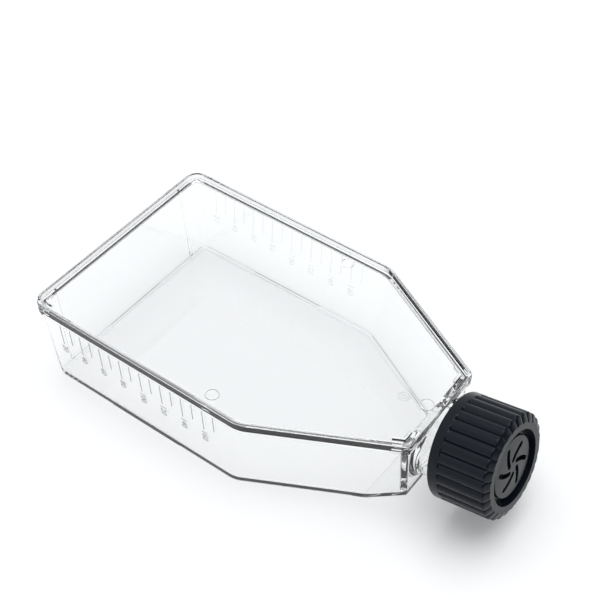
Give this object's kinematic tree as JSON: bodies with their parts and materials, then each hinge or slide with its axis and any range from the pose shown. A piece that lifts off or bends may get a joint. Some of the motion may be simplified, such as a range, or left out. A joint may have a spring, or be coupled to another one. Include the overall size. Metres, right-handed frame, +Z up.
{
  "type": "cell culture flask",
  "caption": "Clear flat-sided cell culture flask with a canted neck, welded cover with a stacking rim, and a ribbed vented screw cap.",
  "frame": {"origin": "under the middle of the whole part's box, on the surface the flask stands on", "axes": "+Z up, +X from the rear wall towards the neck and cap, +Y across the flask"},
  "size_m": [0.159, 0.082, 0.0426],
  "materials": {
    "clear_polystyrene": "crystal clear, glossy",
    "cap_plastic": "satin charcoal",
    "membrane_film": "matte white film",
    "seal_elastomer": "soft natural white"
  },
  "bodies": {
    "flask": {"flask_body": "clear_polystyrene", "top_plate": "clear_polystyrene"},
    "liner": {"seal_ring": "seal_elastomer"},
    "cap": {"cap_shell": "cap_plastic", "vent_membrane": "membrane_film"}
  },
  "joints": [
    {"name": "cap_rise", "type": "slide", "parent": "flask", "child": "liner", "axis": [0.9796, 0, 0.2011], "range_m": [0, 0.006]},
    {"name": "cap_turn", "type": "hinge", "parent": "liner", "child": "cap", "pos_m": [0.05075, 0, 0.02119], "axis": [0.9796, 0, 0.2011], "range_deg": [0, 540]}
  ],
  "couplings": [
    {"joint": "cap_rise", "follows": "cap_turn", "m_per_rad": 0.0006366}
  ]
}
